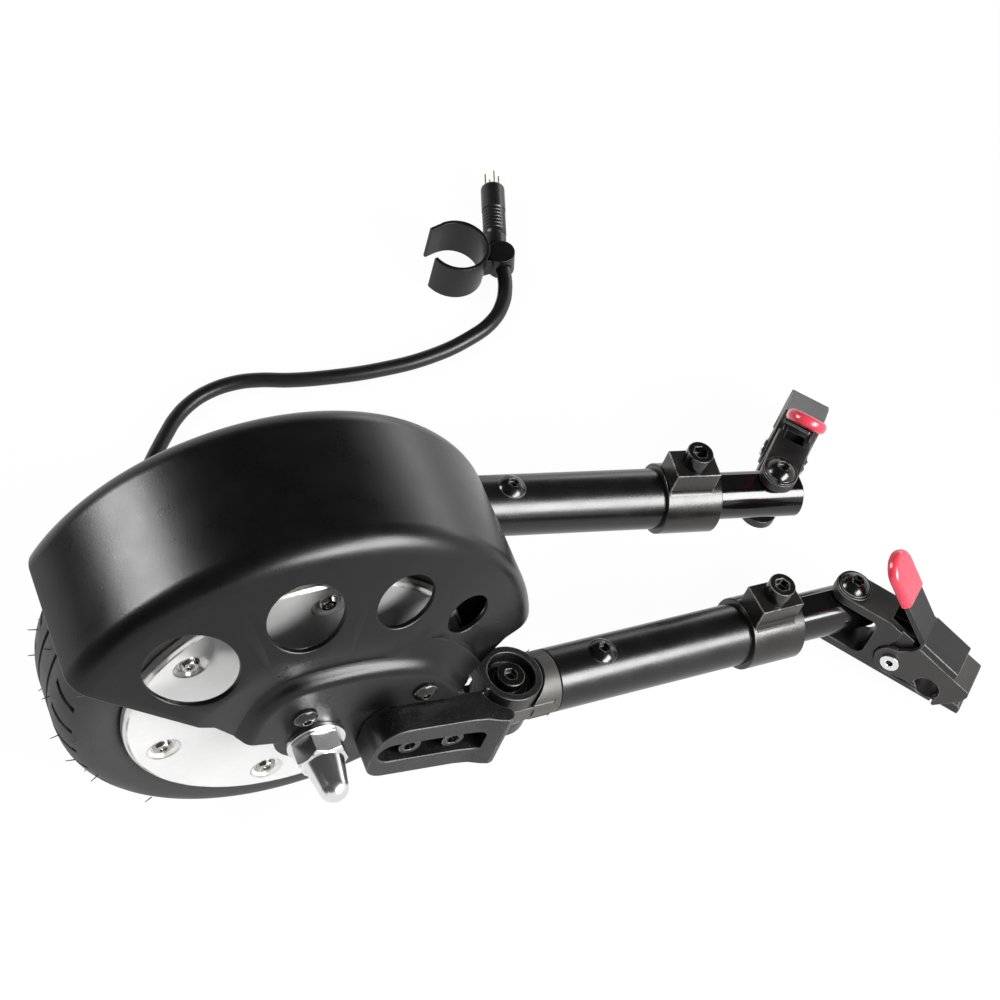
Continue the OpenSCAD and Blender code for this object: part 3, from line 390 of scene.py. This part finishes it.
# The tyre: solid black rubber on an 8 inch hub, with round shoulders, slanted grooves that open to both
# sides and one groove round each half of the crown; the hairs that the mould leaves are still on.
axle_height = 0.1
tyre_half = [(0.0741, 0.026), (0.0749, 0.0264), (0.0757, 0.027), (0.077, 0.0274), (0.079, 0.0277),
             (0.0815, 0.0279), (0.084, 0.028), (0.0865, 0.0278), (0.0885, 0.0274), (0.0905, 0.0266),
             (0.0925, 0.0256), (0.0943, 0.0242), (0.0959, 0.0226), (0.0972, 0.0208), (0.0982, 0.0189),
             (0.099, 0.0169), (0.0995, 0.0149), (0.0998, 0.0129), (0.1, 0.011), (0.1, 0.009), (0.1, 0.007),
             (0.1, 0.005), (0.1, 0.0025)]
tyre_outline = ([(r, -h) for r, h in tyre_half] + [(0.1, 0)] + [(r, h) for r, h in reversed(tyre_half)]
                + [(0.0741, -0.0258)])
groove_count, groove_steps, groove_depth, groove_draft, groove_stagger = 36, 5, 0.0022, 0.0003, 2
ring_from, ring_to, side_from, tread_r = 0.005, 0.0075, 0.012, 0.0935
slant_from, slant_to, slant_rate = 0.007, 0.026, 7.2
tyre_steps = groove_count * groove_steps
ahead_of_zero, rounding = 1000 * groove_steps, 0.02
upright = Matrix.Translation((0, 0, axle_height)) @ Matrix.Rotation(math.radians(-90), 4, "X")
tyre = lathe(tyre_outline, tyre_steps, Matrix.Identity(4))


def slant(height):
    return math.copysign(max(0, min(abs(height), slant_to) - slant_from) * slant_rate, height)


for v in tyre.verts:
    v.co = Matrix.Rotation(slant(v.co.z), 3, "Z") @ v.co
grooved = []
for f in tyre.faces:
    mid = f.calc_center_median()
    lie = (math.atan2(mid.y, mid.x) - slant(mid.z)) / (2 * math.pi) * tyre_steps
    stagger = groove_stagger if mid.z > 0 else 0
    cell = int(lie + ahead_of_zero + stagger + rounding) % groove_steps
    round_groove = ring_from < abs(mid.z) < ring_to
    slanted_groove = cell == 0 and abs(mid.z) > side_from
    if math.hypot(mid.x, mid.y) > tread_r and (round_groove or slanted_groove):
        grooved.append(f)
bmesh.ops.inset_region(tyre, faces=grooved, thickness=groove_draft, depth=-groove_depth, use_even_offset=True,
                       use_boundary=True)
hair_count, hair_scatter, hair_lean, hair_lowest = 96, 1.3, 18, 0.03
hair_short, hair_sink, hair_foot, hair_tip = 0.0022, 0.0004, 0.0003, 0.00018
crown_r, crown_half, crown_fall, crown_spread, shoulder_row = 0.0998, 0.0115, 31, 0.0185, 0.0255
for count in range(hair_count):
    angle = math.radians(count * 360 / hair_count + hair_scatter * math.sin(count * 2.3))
    height = crown_spread * math.sin(count * 1.9) if count % 3 else (shoulder_row if count % 2 else -shoulder_row)
    out = crown_r - max(0, abs(height) - crown_half) ** 2 * crown_fall
    length = hair_short + hair_short * math.sin(count * 5.1) ** 2
    if axle_height + out * math.sin(angle) < hair_lowest:
        continue
    tilt = Matrix.Rotation(math.radians(90 + hair_lean * math.sin(count * 7.7)), 4, "Y")
    root = Matrix.Translation((out + length / 2 - hair_sink, 0, height))
    bmesh.ops.create_cone(tyre, cap_ends=True, segments=5, radius1=hair_foot, radius2=hair_tip, depth=length,
                          matrix=Matrix.Rotation(-angle, 4, "Z") @ root @ tilt)
bmesh.ops.transform(tyre, matrix=upright, verts=tyre.verts)
tyre_rubber = finish("tyre_rubber", (0.02, 0.02, 0.02), (0.036, 0.036, 0.036), 0.0007, (0.48, 0.6), 0.3)
solid("tyre_tread", tyre, tyre_rubber, "wheel", "tyre", soft=32)

# The hub: two turned aluminium covers, polished and nearly white, closed by six steel button screws each
# in dished seats; the drum between them is the rim.
# The covers' bevelled edges, round the dished screw seats and at the rim, carry a brownish dark painted shade.
hub_white = finish("hub_white", (0.92, 0.92, 0.915), (0.96, 0.96, 0.955), 0.004, (0.13, 0.19), 0.002, metal=0.4,
                   edge_wear_and_painted_light=(0.3, 0.24, 0.19), edge_wear_and_painted_light_share=0.9)
for node in ("hub_cover_near", "hub_cover_far"):
    edged(node, hub_white, 0.0005)
# The screws' bevelled rims are near white: partly wear and partly a painted highlight.
hub_bolt = finish("hub_bolt", (0.34, 0.32, 0.3), (0.46, 0.44, 0.42), 0.0006, (0.14, 0.22), 0.03, metal=1.0,
                  edge_wear_and_painted_light=(0.8, 0.78, 0.75), edge_wear_and_painted_light_share=0.7)
edged("hub_screws", hub_bolt, 0.00025)

# The axle ends: washers and nuts of polished steel on the threaded axle, the near one closed by a long
# dome, the far one open for the cable.
# The bevelled edges are near white: partly wear and partly a painted glint.
steel = finish("bright_steel", (0.7, 0.7, 0.71), (0.78, 0.78, 0.79), 0.0012, (0.19, 0.25), 0.01, metal=1.0,
               edge_wear_and_painted_light=(0.9, 0.9, 0.9), edge_wear_and_painted_light_share=0.6)
for node in ("axle_washers", "dome_nut", "hex_nut"):
    edged(node, steel, 0.0003)

# The axle plates: thick aluminium plates, black anodised, that clamp the axle flats behind the fender
# flange and carry the brackets.
# Pale patches on the bevelled edges of the plates and brackets: partly worn anodising and partly a painted edge
# highlight.
plate_black = finish("plate_black", black, soot, 0.00045, (0.34, 0.44), 0.25,
                     edge_wear_and_painted_light=(0.12, 0.12, 0.12), edge_wear_and_painted_light_share=0.8, specks=0.3)
for node in ("axle_plate_near", "axle_plate_far"):
    edged(node, plate_black)

# The fender: a moulded shell in satin black with a fine grain, vented by four holes a side, its flange
# screwed to the axle plate with two button screws.
# The slightly lighter bevelled edges are partly wear and partly a painted edge highlight.
fender_satin = finish("fender_satin", (0.0025, 0.0025, 0.0025), (0.005, 0.005, 0.005), 0.0006, (0.27, 0.31), 0.2,
                      shine=0.33, edge_wear_and_painted_light=(0.02, 0.02, 0.02), edge_wear_and_painted_light_share=0.5)
edged("fender", fender_satin, 0.0007, sharp=34, soft=40)

# The black screws: hardened steel, blackened and oiled, with hexagon sockets and lighter rims, partly worn and
# partly a painted highlight; they hold the fender, brackets, knuckles, tubes, collars and clamps.
screw_black = finish("screw_black", black, soot, 0.0005, (0.14, 0.24), 0.05, edge_wear_and_painted_light=(0.3, 0.29, 0.27), edge_wear_and_painted_light_share=0.7)
edged("fender_screws", screw_black, 0.0003)
edged("bracket_screws", screw_black, 0.0003)
for side in ("near", "far"):
    for node in ("knuckle_bolt_", "tube_screw_", "collar_screw_", "pivot_bolt_"):
        edged(node + side, screw_black, 0.0004)

# The brackets: milled aluminium blocks, black anodised, with a slot that slides on two screws in the
# axle plate and a clevis eye for the knuckle bolt.
for side in ("near", "far"):
    edged("bracket_" + side, plate_black, 0.0006)

# The arm ends: cast fittings in warm grey with a tongue that turns on the knuckle bolt and a saddle
# round it, pushed into the outer tubes.
# Lighter bevelled edges: partly wear and partly a painted edge highlight.
fitting_grey = finish("fitting_grey", (0.055, 0.05, 0.044), (0.085, 0.078, 0.068), 0.0005, (0.42, 0.52), 0.25,
                      edge_wear_and_painted_light=(0.18, 0.17, 0.155), edge_wear_and_painted_light_share=0.6)
for side in ("near", "far"):
    edged("arm_fitting_" + side, fitting_grey, 0.0005)

# The tubes: drawn aluminium, the outer ones satin black, the inner ones glossy. A glossy collar on each
# outer tube has a filleted lug, whose cap screw presses on the flat of the inner tube.
# On the tubes and collars the lighter bevelled edges, brightest on the collar lugs, are partly wear and partly a
# painted edge highlight.
tube_satin = finish("tube_satin", black, soot, 0.0004, (0.24, 0.29), 0.06, edge_wear_and_painted_light=(0.2, 0.2, 0.2), edge_wear_and_painted_light_share=0.6)
tube_gloss = finish("tube_gloss", black, (0.005, 0.005, 0.005), 0.0006, (0.1, 0.15), 0.03,
                    edge_wear_and_painted_light=(0.25, 0.25, 0.25), edge_wear_and_painted_light_share=0.8)
collar_black = finish("collar_black", (0.011, 0.01, 0.009), (0.02, 0.018, 0.016), 0.0006, (0.22, 0.3), 0.05,
                      edge_wear_and_painted_light=(0.4, 0.39, 0.37), edge_wear_and_painted_light_share=0.9)
tube_r, slide_r, collar_r, chamfer = 0.014, 0.011, 0.0164, 0.0005
tube_steps, bore_gap = 96, 0.0002
lug_half, lug_up, lug_fillet, lug_sink = 0.0077, 0.026, 0.004, 0.0003
lug_skin, screw_clear = 0.001, 0.006
fillet_steps, wrap_steps, wrap_angle = 8, 23, 4.5
axes = {joint["name"]: Vector(joint["axis"]).normalized() for joint in frame["record"]["behaviour"]["joints"]}


def reach_along(node, way):
    ends = [v.co.dot(way) for v in nodes[node].data.vertices]
    return min(ends), max(ends)


def pipe(inner, outer, start, end):
    return [(inner, start), (outer - chamfer, start), (outer, start + chamfer), (outer, end - chamfer),
            (outer - chamfer, end), (inner, end), (inner, start)]


fillet_out = lug_half + lug_fillet
fillet_up = math.sqrt((collar_r + lug_fillet) ** 2 - fillet_out ** 2)
meet = math.atan2(fillet_up, fillet_out)
lug_side = [(lug_half, lug_up), (lug_half, fillet_up)]
for step in range(1, fillet_steps + 1):
    turn = meet * step / fillet_steps
    lug_side.append((fillet_out - lug_fillet * math.cos(turn), fillet_up - lug_fillet * math.sin(turn)))
for step in range(1, wrap_steps + 1):
    turn = meet - math.radians(wrap_angle * step)
    lug_side.append(((collar_r - lug_sink) * math.cos(turn), (collar_r - lug_sink) * math.sin(turn)))
lug_outline = lug_side + [(-x, z) for x, z in reversed(lug_side)]
for side in ("near", "far"):
    outer_tube, collar = "outer_tube_" + side, "collar_" + side
    along = axes[side + "_tube_slide"]
    upward = axes[side + "_arm_swing"]
    along = along if along.x > 0 else -along
    upward = upward if upward.z > 0 else -upward
    across = upward.cross(along)
    centre = across * sum(reach_along(collar, across)) / 2
    centre += upward * (reach_along(collar, upward)[0] + collar_r)
    place = Matrix.Translation(centre) @ Matrix((across, upward, along)).transposed().to_4x4()
    drawn = lathe(pipe(slide_r, tube_r, *reach_along(outer_tube, along)), tube_steps, place)
    solid(outer_tube + "_drawn", drawn, tube_satin, body_of[outer_tube], outer_tube)
    edged("inner_tube_" + side, tube_gloss, 0.0004)

    ring = lathe(pipe(slide_r + bore_gap, collar_r, *reach_along(collar, along)), tube_steps, place)
    screw_at = sum(reach_along("collar_screw_" + side, along)) / 2
    lug_ends = [v.co.dot(along) for v in nodes[collar].data.vertices
                if (v.co - centre).dot(upward) > lug_up - lug_skin and abs(v.co.dot(along) - screw_at) > screw_clear]
    lug = bmesh.new()
    front = lug.faces.new([lug.verts.new((x, z, min(lug_ends))) for x, z in lug_outline])
    pushed = bmesh.ops.extrude_face_region(lug, geom=[front])
    bmesh.ops.translate(lug, verts=[v for v in pushed["geom"] if isinstance(v, bmesh.types.BMVert)],
                        vec=(0, 0, max(lug_ends) - min(lug_ends)))
    bmesh.ops.recalc_face_normals(lug, faces=lug.faces)
    mark = lug.faces.layers.float.new("edge")
    hard = [e for e in lug.edges if e.calc_face_angle(0) > math.radians(40)]
    rounded = bmesh.ops.bevel(lug, geom=hard, offset=chamfer, offset_type="OFFSET", affect="EDGES", segments=2,
                              profile=0.5, material=-1, clamp_overlap=False)
    for f in rounded["faces"]:
        f[mark] = 1
    bmesh.ops.transform(lug, matrix=place, verts=lug.verts)
    join(ring, lug)
    solid(collar + "_lugged", ring, collar_black, body_of[collar], collar, soft=50)

# The docking clamps: dark cast bodies forked over the tube ends, hooked jaws of warm grey plate on steel
# tubular rivets, and bent levers with a soft red grip pushed over each end.
# The lighter patches on the bevelled edges of bodies, jaws and levers are partly wear and partly a painted edge
# highlight.
clamp_dark = finish("clamp_dark", (0.008, 0.008, 0.0078), (0.016, 0.016, 0.0155), 0.0005, (0.34, 0.44), 0.25,
                    edge_wear_and_painted_light=(0.16, 0.16, 0.155), edge_wear_and_painted_light_share=0.8)
jaw_grey = finish("jaw_grey", (0.026, 0.025, 0.022), (0.042, 0.04, 0.036), 0.0004, (0.4, 0.5), 0.3,
                  edge_wear_and_painted_light=(0.25, 0.24, 0.22), edge_wear_and_painted_light_share=0.8)
lever_dark = finish("lever_dark", (0.004, 0.004, 0.004), (0.01, 0.01, 0.01), 0.0004, (0.32, 0.42), 0.3,
                    edge_wear_and_painted_light=(0.25, 0.25, 0.25), edge_wear_and_painted_light_share=0.8)
grip_red = finish("grip_red", (0.86, 0.06, 0.1), (0.94, 0.075, 0.125), 0.002, (0.2, 0.28), 0.03)
for side in ("near", "far"):
    edged("clamp_base_" + side, clamp_dark, 0.0005)
    edged("jaw_" + side, jaw_grey, 0.0004)
    edged("rivet_" + side, steel, 0.0003)
    edged("lever_" + side, lever_dark, 0.0005)
    lever_mid, cap_mid = (sum((Vector(corner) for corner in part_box(node + side)), Vector()) / 2
                          for node in ("lever_", "lever_cap_"))
    edged("lever_cap_" + side, grip_red, 0.0023, sharp=40, segments=5,
          mouth=(lever_mid - cap_mid).normalized())

# Inside the hub: the drum, magnet ring, toothed stator, bearings, axle and spacers, in aluminium, steel
# and copper, which are pressed together and show only at their ends.
core_steel = finish("core_steel", (0.4, 0.4, 0.41), (0.55, 0.55, 0.56), 0.0006, (0.25, 0.4), 0.1, metal=1.0)
copper = finish("stator_copper", (0.4, 0.18, 0.08), (0.55, 0.28, 0.13), 0.001, (0.3, 0.45), 0.2, metal=0.8)
inner = {"hub_metal": hub_white, "core_steel": core_steel, "copper": copper}
for node in ("hub_shell", "magnet_ring", "bearing_near", "bearing_far", "axle", "stator", "axle_spacers"):
    slot = next(part["material_slot"] for part in frame["record"]["subparts"] if part["node"] == node)
    nodes[node].data.materials.clear()
    nodes[node].data.materials.append(inner[slot])
